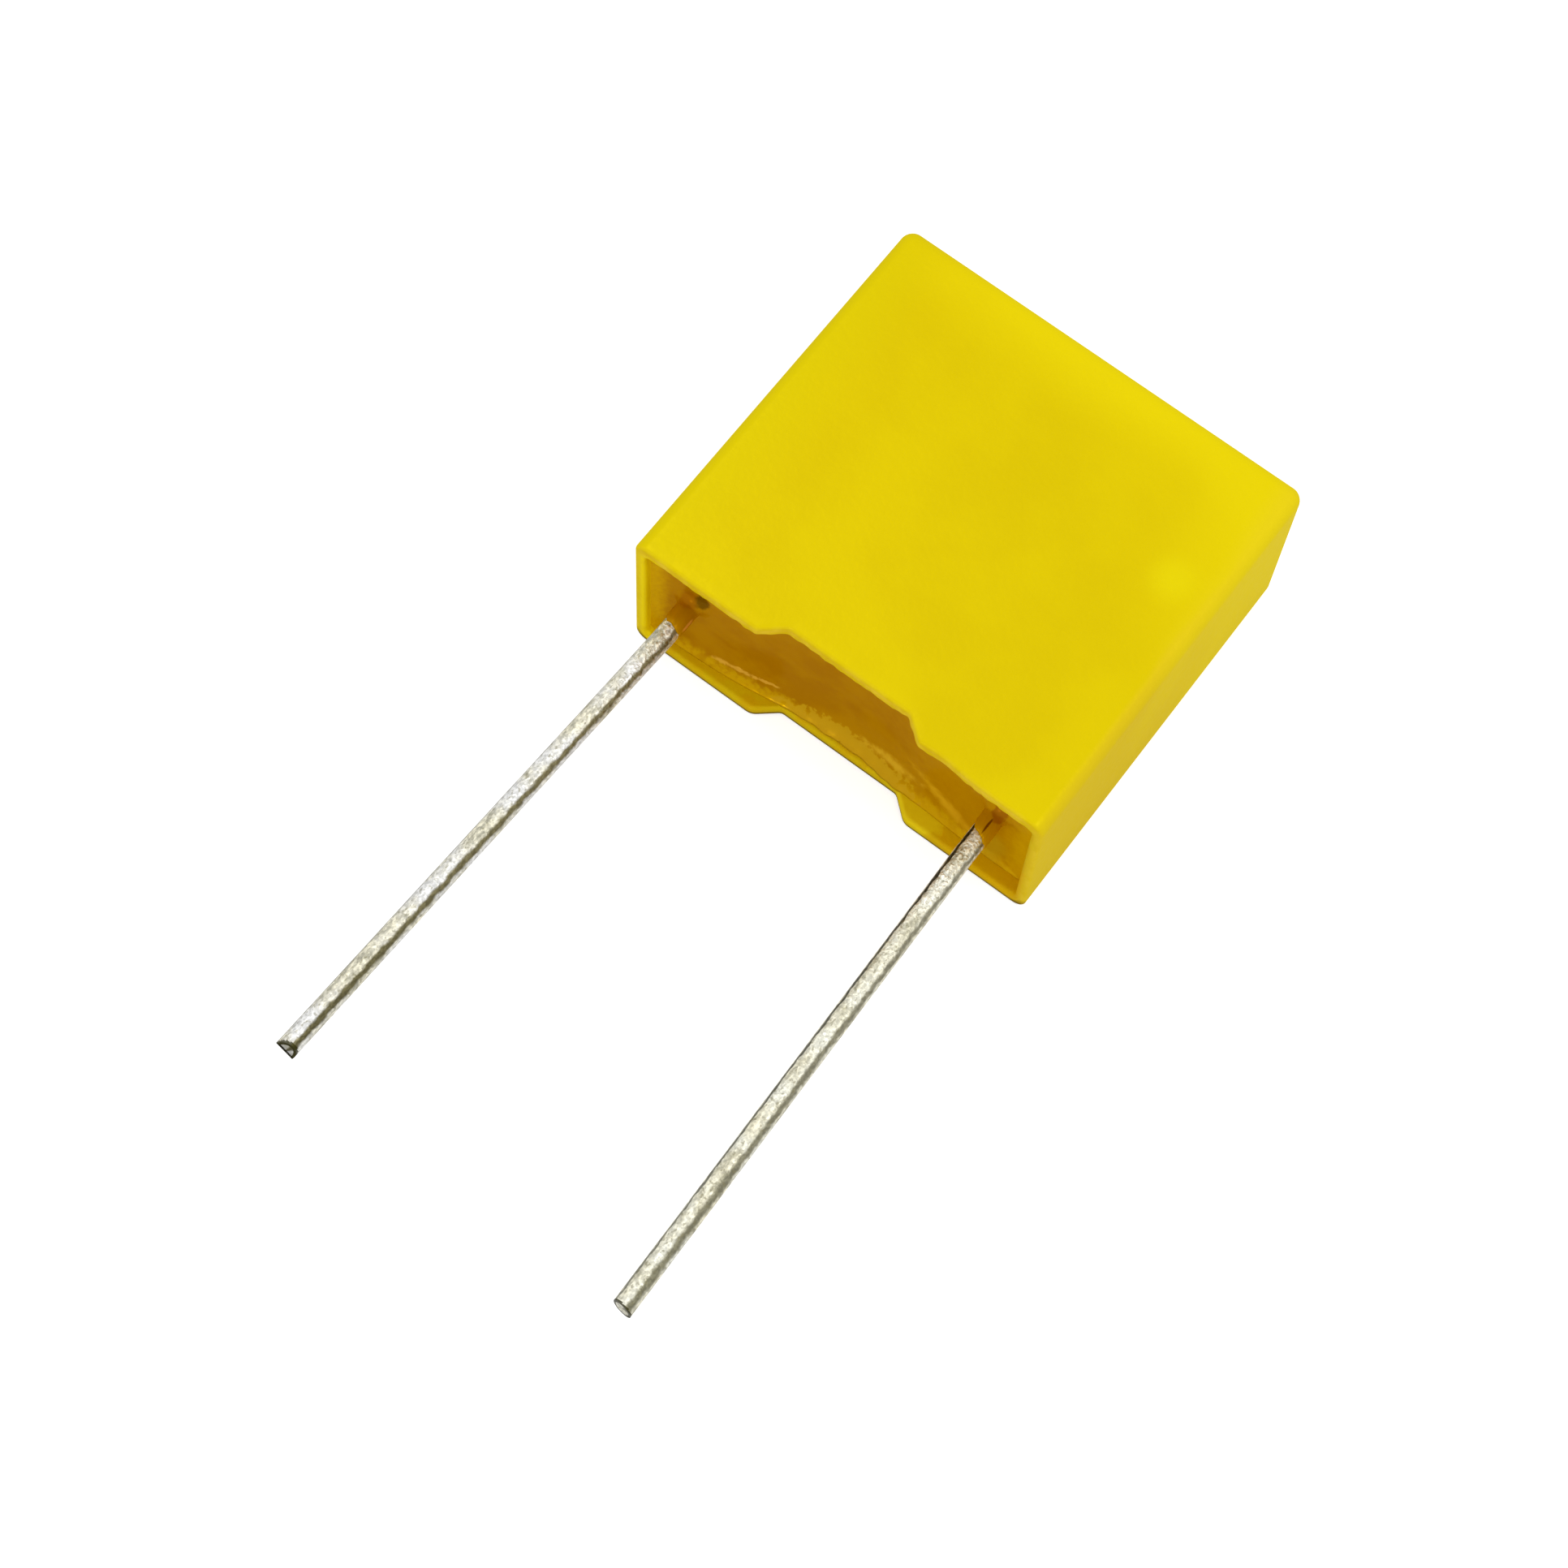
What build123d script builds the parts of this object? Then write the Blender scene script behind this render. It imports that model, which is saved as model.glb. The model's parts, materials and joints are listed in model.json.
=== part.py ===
from build123d import *
import math
import os

# Box-type metallised film safety capacitor, lying on its back face as it comes to rest.
# A moulded case is filled with cast resin round a flattened film winding. Two straight wire
# leads, welded to the sprayed ends of the winding, leave through the resin at the open end.
#
# Frame: the origin is the centre of the back face, +X runs across the case, +Y runs towards
# its closed end, the leads point to -Y and +Z rises through the thickness.
# Lengths are in millimetres and angles in degrees.

# Leads, tinned wire
lead_pitch = 10.0
lead_diameter = 0.6
lead_length = 15.7
straight_exit = 0.6
bend_radius = 4.0
left_splay_angle = 2.4
right_splay_angle = 1.25
left_pinch_angle = 32.0
right_shear_angle = 9.0

# Case, an open box whose rim is the seating plane on a board
lead_to_case_end = 1.6
case_height = 12.1
case_thickness = 6.0
end_wall = 0.35
face_wall = 0.4
roof_wall = 0.7
draft_angle = 0.3
case_edge_radius = 0.4
rim_edge_radius = 0.1
cavity_corner_radius = 0.3
cavity_floor_radius = 0.3

# Cut-backs in the rim of both large walls, which leave a foot at each end
notch_floor_width = 3.9
notch_mouth_width = 5.2
notch_depth = 0.55
notch_floor_corner_radius = 0.25
front_foot_corner_radius = 0.15
back_foot_corner_radius = 0.45

# Winding of metallised film, pressed flat, and the zinc sprayed on its two ends.
# It sits a little to one side in the resin, with its leads sunk in the zinc.
winding_depth = 1.9
winding_roof_gap = 0.5
winding_face_gap = 0.4
winding_offset = -0.12
spray_thickness = 0.35
weld_sink = 0.1
weld_stop = 1.9

# Resin: how deep its surface lies below the rim, and how it creeps up the leads
resin_wall_depth = 0.475
resin_end_slope = 0.12
resin_middle_dip = 0.475
resin_middle_length = 2.6
resin_cross_dip = 0.3
creep_spread = 0.32
creep_height = 0.32
creep_film = 0.03
creep_film_length = 0.85
surface_steps = 12
surface_overhang = 1.03

case_width = lead_pitch + 2 * lead_to_case_end
rim_y = -case_height / 2
mid_z = case_thickness / 2
cavity_width = case_width - 2 * end_wall
cavity_thickness = case_thickness - 2 * face_wall
cavity_depth = case_height - roof_wall
lead_radius = lead_diameter / 2
creep_radius = lead_radius + creep_spread
element_y = rim_y + winding_depth
film_width = lead_pitch - lead_diameter - 2 * (spray_thickness - weld_sink)
winding_height = cavity_depth - winding_depth - winding_roof_gap
winding_thickness = cavity_thickness - 2 * winding_face_gap
weld_length = winding_height - weld_stop
past_all = case_width + case_height + lead_length


def rim_sketch(width, thickness, radius):
    """A rounded rectangle in the rim's plane, facing the closed end."""
    rim_plane = Plane(origin=(0, rim_y, mid_z), x_dir=(1, 0, 0), z_dir=(0, 1, 0))
    return rim_plane * RectangleRounded(width, thickness, radius)


def make_cavity():
    """The space inside the case, narrowing to its floor by the mould's draft."""
    mouth = rim_sketch(cavity_width, cavity_thickness, cavity_corner_radius)
    cavity = extrude(mouth, amount=cavity_depth, taper=draft_angle)
    floor = cavity.faces().sort_by(Axis.Y)[-1]
    return fillet(floor.edges(), cavity_floor_radius)


def notch_cutter(low_z, high_z):
    """The trapezoid that is left out of the rim, through one wall from low_z to high_z."""
    outline = Polyline(
        (-notch_mouth_width / 2, rim_y),
        (-notch_floor_width / 2, rim_y + notch_depth),
        (notch_floor_width / 2, rim_y + notch_depth),
        (notch_mouth_width / 2, rim_y),
        close=True,
    )
    return Pos(0, 0, low_z) * extrude(make_face(outline), amount=high_z - low_z)


def notch_corners(case, half_width, depth, low_z, high_z):
    """The case's edges across one wall at the notch corners that far out and that deep."""
    slack = rim_edge_radius
    return [
        edge
        for edge in case.edges().filter_by(Axis.Z)
        if abs(abs(edge.center().X) - half_width) < slack
        and abs(edge.center().Y - rim_y - depth) < slack
        and low_z < edge.center().Z < high_z
    ]


def outer_rim_edges(case, cavity):
    """The edges where the outer faces of the case meet the rim and its notches."""
    lowest_notch = rim_y + notch_depth
    return [
        edge
        for edge in case.edges()
        if edge.center().Y < lowest_notch + rim_edge_radius and edge.distance_to(cavity) > rim_edge_radius
    ]


def make_block():
    """The outside of the case: its end walls lean in by the draft, its large faces are parallel."""
    roof_y = rim_y + case_height
    roof_half = case_width / 2 - case_height * math.tan(math.radians(draft_angle))
    outline = Polyline(
        (-case_width / 2, rim_y),
        (case_width / 2, rim_y),
        (roof_half, roof_y),
        (-roof_half, roof_y),
        close=True,
    )
    block = extrude(make_face(outline), amount=case_thickness)
    above_rim = [edge for edge in block.edges() if edge.center().Y > rim_y + case_edge_radius]
    return fillet(above_rim, case_edge_radius)


def make_case():
    """The moulded shell, closed at +Y, with a foot at each end of its rim."""
    cavity = make_cavity()
    case = make_block() - cavity
    case -= notch_cutter(mid_z, case_thickness)
    case -= notch_cutter(0, mid_z)
    for low_z, high_z, foot_radius in (
        (mid_z, case_thickness, front_foot_corner_radius),
        (0, mid_z, back_foot_corner_radius),
    ):
        feet = notch_corners(case, notch_mouth_width / 2, 0, low_z, high_z)
        case = fillet(feet, foot_radius)
        floors = notch_corners(case, notch_floor_width / 2, notch_depth, low_z, high_z)
        case = fillet(floors, notch_floor_corner_radius)
    return fillet(outer_rim_edges(case, cavity), rim_edge_radius)


def wound_section(half_x):
    """The pressed roll's flat-sided section, drawn across X at that distance from its middle."""
    centre_y = element_y + winding_height / 2
    plane = Plane(origin=(winding_offset + half_x, centre_y, mid_z), x_dir=(0, 1, 0), z_dir=(1, 0, 0))
    return plane * SlotOverall(winding_height, winding_thickness)


def make_winding():
    """The flattened roll of film, its turns round the X axis."""
    return extrude(wound_section(-film_width / 2), amount=film_width)


def make_end_spray(side, lead):
    """The porous zinc layer on one end of the roll, with the groove that its lead is sunk in."""
    layer = extrude(wound_section(side * film_width / 2), amount=side * spray_thickness)
    return layer - lead


def lead_route(side, splay_angle):
    """A lead's centre line: up the sprayed end, straight out of the resin, then leaning outwards."""
    x = winding_offset + side * lead_pitch / 2
    bend_y = rim_y - straight_exit
    run = lead_length - straight_exit
    start = Vector(x, element_y + weld_length, mid_z)
    bend = Vector(x, bend_y, mid_z)
    tip = bend + Vector(side * run * math.tan(math.radians(splay_angle)), -run, 0)
    return start, bend, tip


def make_lead(side, splay_angle, cut_angles):
    """One tinned wire, trimmed at its free end by a plane for each cut angle."""
    start, bend, tip = lead_route(side, splay_angle)
    outward = (tip - bend).normalized()
    past_tip = tip + outward * lead_diameter
    path = FilletPolyline(start, bend, past_tip, radius=bend_radius)
    lead = sweep(Plane(origin=start, z_dir=(0, -1, 0)) * Circle(lead_radius), path=path)
    for angle in cut_angles:
        facing = outward.rotate(Axis.X, angle)
        lead = split(lead, bisect_by=Plane(origin=tip, z_dir=facing), keep=Keep.BOTTOM)
    return lead


def resin_depth(x, z):
    """How far below the rim the set resin lies: higher at the walls, hollow in the middle."""
    across = x / (cavity_width / 2)
    through = z / (cavity_thickness / 2)
    level = resin_wall_depth + resin_end_slope * across
    dip = resin_middle_dip * math.exp(-((x / resin_middle_length) ** 2))
    return level + dip + resin_cross_dip * (1 - through**4) * (1 - across**8)


def space_over_resin():
    """Everything on the open side of the resin's surface."""
    half_x = surface_overhang * cavity_width / 2
    half_z = surface_overhang * cavity_thickness / 2
    shares = [2 * step / surface_steps - 1 for step in range(surface_steps + 1)]
    points = [
        [Vector(u * half_x, rim_y + resin_depth(u * half_x, v * half_z), mid_z + v * half_z) for v in shares]
        for u in shares
    ]
    return extrude(Face.make_surface_from_array_of_points(points), amount=past_all, dir=(0, -1, 0))


def resin_creep(side):
    """The concave collar and thin film that the resin leaves on one lead where it comes out."""
    x = winding_offset + side * lead_pitch / 2
    surface_y = rim_y + resin_depth(x, 0)
    film_radius = lead_radius + creep_film
    root = surface_y + resin_cross_dip
    profile = make_face([
        Line((0, root), (creep_radius, root)),
        Line((creep_radius, root), (creep_radius, surface_y)),
        TangentArc(
            (creep_radius, surface_y),
            (film_radius, surface_y - creep_height),
            tangent=(-1, 0),
        ),
        Line((film_radius, surface_y - creep_height), (film_radius, surface_y - creep_film_length)),
        Line((film_radius, surface_y - creep_film_length), (0, surface_y - creep_film_length)),
        Line((0, surface_y - creep_film_length), (0, root)),
    ])
    return Pos(x, 0, mid_z) * revolve(profile, axis=Axis.Y)


def make_resin(inner_pieces):
    """The cast filling: the whole cavity up to its surface, less the pieces it holds."""
    resin = make_cavity() - space_over_resin()
    for side in (-1, 1):
        resin += resin_creep(side)
    for piece in inner_pieces:
        resin -= piece
    return resin


lead_left = make_lead(-1, left_splay_angle, (-left_pinch_angle, left_pinch_angle))
lead_right = make_lead(1, right_splay_angle, (right_shear_angle,))
winding = make_winding()
spray_left = make_end_spray(-1, lead_left)
spray_right = make_end_spray(1, lead_right)

parts = {
    "case": make_case(),
    "potting_resin": make_resin([winding, spray_left, spray_right, lead_left, lead_right]),
    "film_winding": winding,
    "end_spray_left": spray_left,
    "end_spray_right": spray_right,
    "lead_left": lead_left,
    "lead_right": lead_right,
}

os.makedirs("parts", exist_ok=True)
for name, shape in parts.items():
    export_step(shape, f"parts/{name}.step")
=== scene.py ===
import json
import math

import bmesh
import bpy
import numpy as np
from mathutils import Matrix, Vector, noise


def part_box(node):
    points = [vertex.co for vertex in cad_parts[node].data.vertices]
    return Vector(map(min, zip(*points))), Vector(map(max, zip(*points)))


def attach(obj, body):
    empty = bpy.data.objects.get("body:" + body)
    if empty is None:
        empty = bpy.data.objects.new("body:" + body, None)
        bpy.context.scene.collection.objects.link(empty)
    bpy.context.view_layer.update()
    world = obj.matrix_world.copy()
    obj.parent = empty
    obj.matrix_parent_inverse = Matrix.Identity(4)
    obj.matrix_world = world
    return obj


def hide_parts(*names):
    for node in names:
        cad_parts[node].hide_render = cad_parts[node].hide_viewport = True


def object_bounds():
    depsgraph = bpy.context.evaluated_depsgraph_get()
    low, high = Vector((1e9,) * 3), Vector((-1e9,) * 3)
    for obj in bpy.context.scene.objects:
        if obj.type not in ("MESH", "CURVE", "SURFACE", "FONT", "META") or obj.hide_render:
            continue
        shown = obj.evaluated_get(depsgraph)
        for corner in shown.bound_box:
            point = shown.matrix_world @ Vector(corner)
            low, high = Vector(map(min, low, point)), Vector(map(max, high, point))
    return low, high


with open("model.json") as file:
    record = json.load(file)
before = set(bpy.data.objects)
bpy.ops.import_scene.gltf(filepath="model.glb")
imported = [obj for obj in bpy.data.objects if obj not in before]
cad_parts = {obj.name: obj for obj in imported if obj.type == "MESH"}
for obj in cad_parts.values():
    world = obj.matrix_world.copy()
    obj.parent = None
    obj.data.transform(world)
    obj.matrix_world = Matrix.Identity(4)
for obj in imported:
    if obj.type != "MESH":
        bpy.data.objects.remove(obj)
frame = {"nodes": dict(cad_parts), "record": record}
cad_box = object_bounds()

# ---------------------------------------------------------------- Film winding
# The capacitor element: two metallised polypropylene films wound together round the X axis
# and pressed flat. It lies deep in the resin, so only its silvery outer turn has a surface.


def colour(red, green, blue):
    """A colour given as it looks, 0 to 255 a channel, as the linear values that shaders take."""
    return tuple((share / 255) ** 2.2 for share in (red, green, blue)) + (1.0,)


def add(tree, kind, inputs=(), **settings):
    """Adds a node. Each of its inputs is a value, or a socket that it is linked to."""
    node = tree.nodes.new(kind)
    for name, value in settings.items():
        setattr(node, name, value)
    for key, value in dict(inputs).items():
        if isinstance(value, bpy.types.NodeSocket):
            tree.links.new(value, node.inputs[key])
        else:
            node.inputs[key].default_value = value
    return node


def grain_group():
    """A soft random pattern on the object's own coordinates, used by every finish here."""
    group = bpy.data.node_groups.new("grain", "ShaderNodeTree")
    sockets = (
        ("Grain Size", "NodeSocketFloat", 0.001),
        ("Stretch", "NodeSocketVector", (1.0, 1.0, 1.0)),
        ("Detail", "NodeSocketFloat", 3.0),
        ("Low", "NodeSocketFloat", 0.35),
        ("High", "NodeSocketFloat", 0.65),
    )
    for name, kind, value in sockets:
        socket = group.interface.new_socket(name, in_out="INPUT", socket_type=kind)
        socket.default_value = value
    group.interface.new_socket("Mask", in_out="OUTPUT", socket_type="NodeSocketFloat")
    given = group.nodes.new("NodeGroupInput").outputs
    place = add(group, "ShaderNodeTexCoord").outputs["Object"]
    stretched = add(group, "ShaderNodeVectorMath", {0: place, 1: given["Stretch"]}, operation="DIVIDE")
    scale = add(group, "ShaderNodeMath", {0: 1.0, 1: given["Grain Size"]}, operation="DIVIDE")
    pattern = add(
        group,
        "ShaderNodeTexNoise",
        {"Vector": stretched.outputs[0], "Scale": scale.outputs[0], "Detail": given["Detail"]},
    )
    mask = add(
        group,
        "ShaderNodeMapRange",
        {"Value": pattern.outputs["Fac"], "From Min": given["Low"], "From Max": given["High"]},
        interpolation_type="SMOOTHSTEP",
    )
    result = group.nodes.new("NodeGroupOutput")
    group.links.new(mask.outputs["Result"], result.inputs["Mask"])
    return group


grain_effect = grain_group()


def grain(tree, size, **inputs):
    """Places the grain effect, its size in metres, and returns its mask."""
    node = add(tree, "ShaderNodeGroup", node_tree=grain_effect)
    node.inputs["Grain Size"].default_value = size
    for name, value in inputs.items():
        node.inputs[name.replace("_", " ").title()].default_value = value
    return node.outputs["Mask"]


def blend_of(tree, mask, low, high):
    """Low where the mask is 0 and high where it is 1: colours, or numbers."""
    kind = "FLOAT" if isinstance(low, (float, bpy.types.NodeSocketFloat)) else "RGBA"
    first, second, result = {"RGBA": (6, 7, 2), "FLOAT": (2, 3, 0)}[kind]
    node = add(tree, "ShaderNodeMix", {0: mask, first: low, second: high}, data_type=kind)
    return node.outputs[result]


def bump_of(tree, height, depth):
    """A bump of that depth, in metres, from a height between 0 and 1."""
    inputs = {"Height": height, "Distance": depth, "Strength": 1.0}
    return add(tree, "ShaderNodeBump", inputs).outputs["Normal"]


def new_finish(name, **shader_values):
    """A material with its own Principled shader, and that shader's plain values."""
    material = bpy.data.materials.new(name)
    material.use_nodes = True
    shader = material.node_tree.nodes["Principled BSDF"]
    for key, value in shader_values.items():
        shader.inputs[key.replace("_", " ").title().replace("Ior", "IOR")].default_value = value
    return material, material.node_tree, shader


def feed(tree, shader, sockets):
    """Links each named input of the shader to the socket given for it."""
    for name, socket in sockets.items():
        tree.links.new(socket, shader.inputs[name])


def dress(node_name, material):
    """Gives a CAD node its finish."""
    slots = frame["nodes"][node_name].data.materials
    slots.clear()
    slots.append(material)


film_finish, tree, shader = new_finish("metallised_film_silver", metallic=0.85)
wrinkles = grain(tree, 0.0006, stretch=(8.0, 1.0, 1.0), detail=4.0)
feed(tree, shader, {
    "Base Color": blend_of(tree, wrinkles, colour(186, 188, 190), colour(222, 222, 220)),
    "Roughness": blend_of(tree, wrinkles, 0.22, 0.4),
    "Normal": bump_of(tree, wrinkles, 0.00001),
})
dress("film_winding", film_finish)

# ---------------------------------------------------------------- Sprayed ends
# Zinc is sprayed hot on both ends of the winding and joins the edges of all its turns. It is
# a dull grey, porous skin, and each lead is welded into it.

zinc_finish, tree, shader = new_finish("sprayed_zinc_grey", metallic=0.7)
pores = grain(tree, 0.00012, detail=5.0)
clouds = grain(tree, 0.0012, detail=2.0)
feed(tree, shader, {
    "Base Color": blend_of(tree, clouds, colour(128, 130, 132), colour(160, 161, 160)),
    "Roughness": blend_of(tree, pores, 0.55, 0.85),
    "Normal": bump_of(tree, pores, 0.00003),
})
for end in ("end_spray_left", "end_spray_right"):
    dress(end, zinc_finish)

# ---------------------------------------------------------------- Leads
# Two copper wires with a dipped tin skin, drawn along their own centre lines: straight up the
# sprayed end, straight out of the resin, and then leaning outwards. Cutters trimmed them.

wire_radius = 0.0003
ring_spacing = 0.00004
wire_facets = 48
ripple_height = 0.000008
ripple_length = 0.0006
dimple_height = 0.0000025
dimple_length = 0.00012
ripple_run = 2.5
wire_spare = 0.0015
cut_slack = 1e-8
square_on = 0.9999
burr_shade = 0.9
band_wander = math.radians(14)
bare_start = 0.00015
tips_y = cad_box[0].y
bare_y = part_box("case")[0].y - bare_start


def drawn_wire_tree():
    """Geometry nodes that draw a tinned wire along a centre line, with the ripple of its tin."""
    tree = bpy.data.node_groups.new("drawn_wire", "GeometryNodeTree")
    sockets = (
        ("Centre Line", "NodeSocketGeometry"),
        ("Wire Radius", "NodeSocketFloat"),
        ("Ring Spacing", "NodeSocketFloat"),
        ("Facets", "NodeSocketInt"),
        ("Ripple Height", "NodeSocketFloat"),
        ("Ripple Length", "NodeSocketFloat"),
        ("Dimple Height", "NodeSocketFloat"),
        ("Dimple Length", "NodeSocketFloat"),
        ("Seed", "NodeSocketFloat"),
        ("Finish", "NodeSocketMaterial"),
    )
    for name, kind in sockets:
        tree.interface.new_socket(name, in_out="INPUT", socket_type=kind)
    tree.interface.new_socket("Wire", in_out="OUTPUT", socket_type="NodeSocketGeometry")
    given = tree.nodes.new("NodeGroupInput").outputs

    rings = add(
        tree,
        "GeometryNodeResampleCurve",
        {"Curve": given["Centre Line"], "Length": given["Ring Spacing"]},
        mode="LENGTH",
    )
    section = add(
        tree,
        "GeometryNodeCurvePrimitiveCircle",
        {"Resolution": given["Facets"], "Radius": given["Wire Radius"]},
        mode="RADIUS",
    )
    wire = add(
        tree,
        "GeometryNodeCurveToMesh",
        {"Curve": rings.outputs[0], "Profile Curve": section.outputs[0], "Fill Caps": True},
    ).outputs[0]

    place = add(tree, "GeometryNodeInputPosition").outputs[0]
    squeeze = (1.0, 1 / ripple_run, 1.0)
    along = add(tree, "ShaderNodeVectorMath", {0: place, 1: squeeze}, operation="MULTIPLY")
    outward = add(tree, "GeometryNodeInputNormal").outputs[0]
    swell = None
    for height, length in (("Ripple Height", "Ripple Length"), ("Dimple Height", "Dimple Length")):
        scale = add(tree, "ShaderNodeMath", {0: 1.0, 1: given[length]}, operation="DIVIDE")
        waves = add(
            tree,
            "ShaderNodeTexNoise",
            {"Vector": along.outputs[0], "W": given["Seed"], "Scale": scale.outputs[0], "Detail": 1.0},
            noise_dimensions="4D",
        )
        centred = add(tree, "ShaderNodeMath", {0: waves.outputs["Fac"], 1: 0.5}, operation="SUBTRACT")
        sized = add(tree, "ShaderNodeMath", {0: centred.outputs[0], 1: given[height]}, operation="MULTIPLY")
        if swell is None:
            swell = sized.outputs[0]
        else:
            swell = add(tree, "ShaderNodeMath", {0: swell, 1: sized.outputs[0]}).outputs[0]
    offset = add(tree, "ShaderNodeVectorMath", {0: outward, "Scale": swell}, operation="SCALE")
    marked = add(
        tree,
        "GeometryNodeStoreNamedAttribute",
        {"Geometry": wire, "Name": "outward", "Value": outward},
        data_type="FLOAT_VECTOR",
        domain="POINT",
    )
    skinned = add(
        tree, "GeometryNodeSetPosition", {"Geometry": marked.outputs[0], "Offset": offset.outputs[0]}
    )
    smooth = add(tree, "GeometryNodeSetShadeSmooth", {0: skinned.outputs[0]})
    solid = add(tree, "GeometryNodeRealizeInstances", {0: smooth.outputs[0]})
    dressed = add(tree, "GeometryNodeSetMaterial", {0: solid.outputs[0], "Material": given["Finish"]})
    result = tree.nodes.new("NodeGroupOutput")
    tree.links.new(dressed.outputs[0], result.inputs["Wire"])
    return tree


def run_tree(name, source, tree, values):
    """The plain mesh that a geometry node tree makes from a source object, as a new piece."""
    modifier = source.modifiers.new(tree.name, "NODES")
    modifier.node_group = tree
    identifiers = {
        item.name: item.identifier
        for item in tree.interface.items_tree
        if item.item_type == "SOCKET" and item.in_out == "INPUT"
    }
    for key, value in values.items():
        modifier[identifiers[key]] = value
    bpy.context.view_layer.update()
    evaluated = source.evaluated_get(bpy.context.evaluated_depsgraph_get())
    mesh = bpy.data.meshes.new_from_object(evaluated)
    bpy.data.objects.remove(source)
    mesh.name = name
    piece = bpy.data.objects.new(name, mesh)
    bpy.context.scene.collection.objects.link(piece)
    return piece


def snip(mesh, cuts, burr_width, ring_width, cut_face_shade):
    """Cuts the wire by planes given as points and directions, and marks in the cut attribute where
    painted shade goes: the burr on the wire's surface, a dark ring on each cut, and a share of it inside."""
    bm = bmesh.new()
    bm.from_mesh(mesh)
    tone = bm.faces.layers.float.new("cut")
    for point, facing in cuts:
        everything = bm.verts[:] + bm.edges[:] + bm.faces[:]
        cut = bmesh.ops.bisect_plane(
            bm, geom=everything, dist=cut_slack, plane_co=point, plane_no=facing, clear_outer=True
        )
        rim = [item for item in cut["geom_cut"] if isinstance(item, bmesh.types.BMEdge)]
        bmesh.ops.holes_fill(bm, edges=rim)
    bm.normal_update()
    ends = [face for face in bm.faces if any(face.normal.dot(facing) > square_on for _, facing in cuts)]
    for face in bm.faces:
        to_cuts = min((point - face.calc_center_median()).dot(facing) for point, facing in cuts)
        face[tone] = burr_shade if to_cuts < burr_width else 0.0
    for face in ends:
        face.smooth = False
        face[tone] = 1.0
    bmesh.ops.inset_individual(bm, faces=ends, thickness=ring_width, use_even_offset=True)
    for face in ends:
        face[tone] = cut_face_shade
    bm.to_mesh(mesh)
    bm.free()


def painted_reflection_band(tree, around, share, near_tip, near_root, wander):
    """A painted reflection along the wire: a band darker or greyer than the tin, and its colour. Each end is
    its middle, half width and fade in degrees, and its colour; the wandering pattern shifts its edges."""
    *tip_angles, tip_reflection = near_tip
    *root_angles, root_reflection = near_root
    middle, half, fade = (
        blend_of(tree, share, math.radians(tip), math.radians(root))
        for tip, root in zip(tip_angles, root_angles)
    )
    offset = add(tree, "ShaderNodeMath", {0: around, 1: middle}, operation="SUBTRACT").outputs[0]
    swing = {0: wander, 1: band_wander, 2: -band_wander / 2}
    shift = add(tree, "ShaderNodeMath", swing, operation="MULTIPLY_ADD").outputs[0]
    offset = add(tree, "ShaderNodeMath", {0: offset, 1: shift}).outputs[0]
    distance = add(tree, "ShaderNodeMath", {0: offset}, operation="ABSOLUTE").outputs[0]
    past = add(tree, "ShaderNodeMath", {0: distance, 1: half}, operation="SUBTRACT").outputs[0]
    mask = add(
        tree,
        "ShaderNodeMapRange",
        {"Value": past, "From Min": fade, "From Max": 0.0},
        interpolation_type="SMOOTHSTEP",
    )
    return mask.outputs["Result"], blend_of(tree, share, colour(*tip_reflection), colour(*root_reflection))


def tin_finish(name, warm, cool, dark, reflection_bands):
    """Dipped tin, finely mottled, with painted reflections: bands round the wire at fixed angles, darker
    where it mirrors dark surroundings and greyer where it mirrors shaded floor, from its tip to where it is
    bare of resin."""
    material, tree, shader = new_finish(name, metallic=1.0)
    place = add(tree, "ShaderNodeSeparateXYZ", {0: add(tree, "ShaderNodeTexCoord").outputs["Object"]}).outputs
    bare_run = {"Value": place["Y"], "From Min": tips_y, "From Max": bare_y}
    share = add(tree, "ShaderNodeMapRange", bare_run).outputs["Result"]
    outward = add(tree, "ShaderNodeAttribute", attribute_name="outward").outputs["Vector"]
    facing = add(tree, "ShaderNodeSeparateXYZ", {0: outward}).outputs
    around = add(tree, "ShaderNodeMath", {0: facing["X"], 1: facing["Z"]}, operation="ARCTAN2").outputs[0]
    spangle = grain(tree, 0.00007, stretch=(1.3, 1.6, 1.3), detail=6.0, low=0.38, high=0.62)
    runs = grain(tree, 0.0002, stretch=(0.9, 2.2, 0.9), detail=5.0, low=0.38, high=0.6)
    hues = grain(tree, 0.0007, stretch=(1.0, 1.6, 1.0), detail=4.0)
    specks = grain(tree, 0.0001, stretch=(1.0, 1.4, 1.0), detail=6.0, low=0.54, high=0.68)
    wander = grain(tree, 0.00022, stretch=(1.0, 1.4, 1.0), detail=6.0, low=0.25, high=0.75)
    bright = blend_of(tree, hues, colour(*warm), colour(*cool))
    tin = blend_of(tree, runs, blend_of(tree, hues, colour(*dark), bright), bright)
    # Painted reflections: each band darkens or greys the tin at a fixed angle round the wire.
    for near_tip, near_root in reflection_bands:
        band, tone = painted_reflection_band(tree, around, share, near_tip, near_root, wander)
        tin = blend_of(tree, band, tin, tone)
    mottle = blend_of(tree, spangle, 0.74, 1.06)
    tin = add(tree, "ShaderNodeVectorMath", {0: tin, "Scale": mottle}, operation="SCALE").outputs[0]
    fleck = add(tree, "ShaderNodeMath", {0: specks, 1: 0.6}, operation="MULTIPLY")
    tin = blend_of(tree, fleck.outputs[0], tin, colour(128, 122, 92))
    # Painted shade: the burr beside each cut and the ring round its face are dark olive, and the face inside
    # takes a share of it.
    cut = add(tree, "ShaderNodeAttribute", attribute_name="cut").outputs["Fac"]
    tin = blend_of(tree, cut, tin, colour(58, 56, 26))
    feed(tree, shader, {
        "Base Color": tin,
        "Roughness": blend_of(tree, runs, 0.3, 0.48),
        "Normal": bump_of(tree, spangle, 0.000008),
    })
    return material


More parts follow.
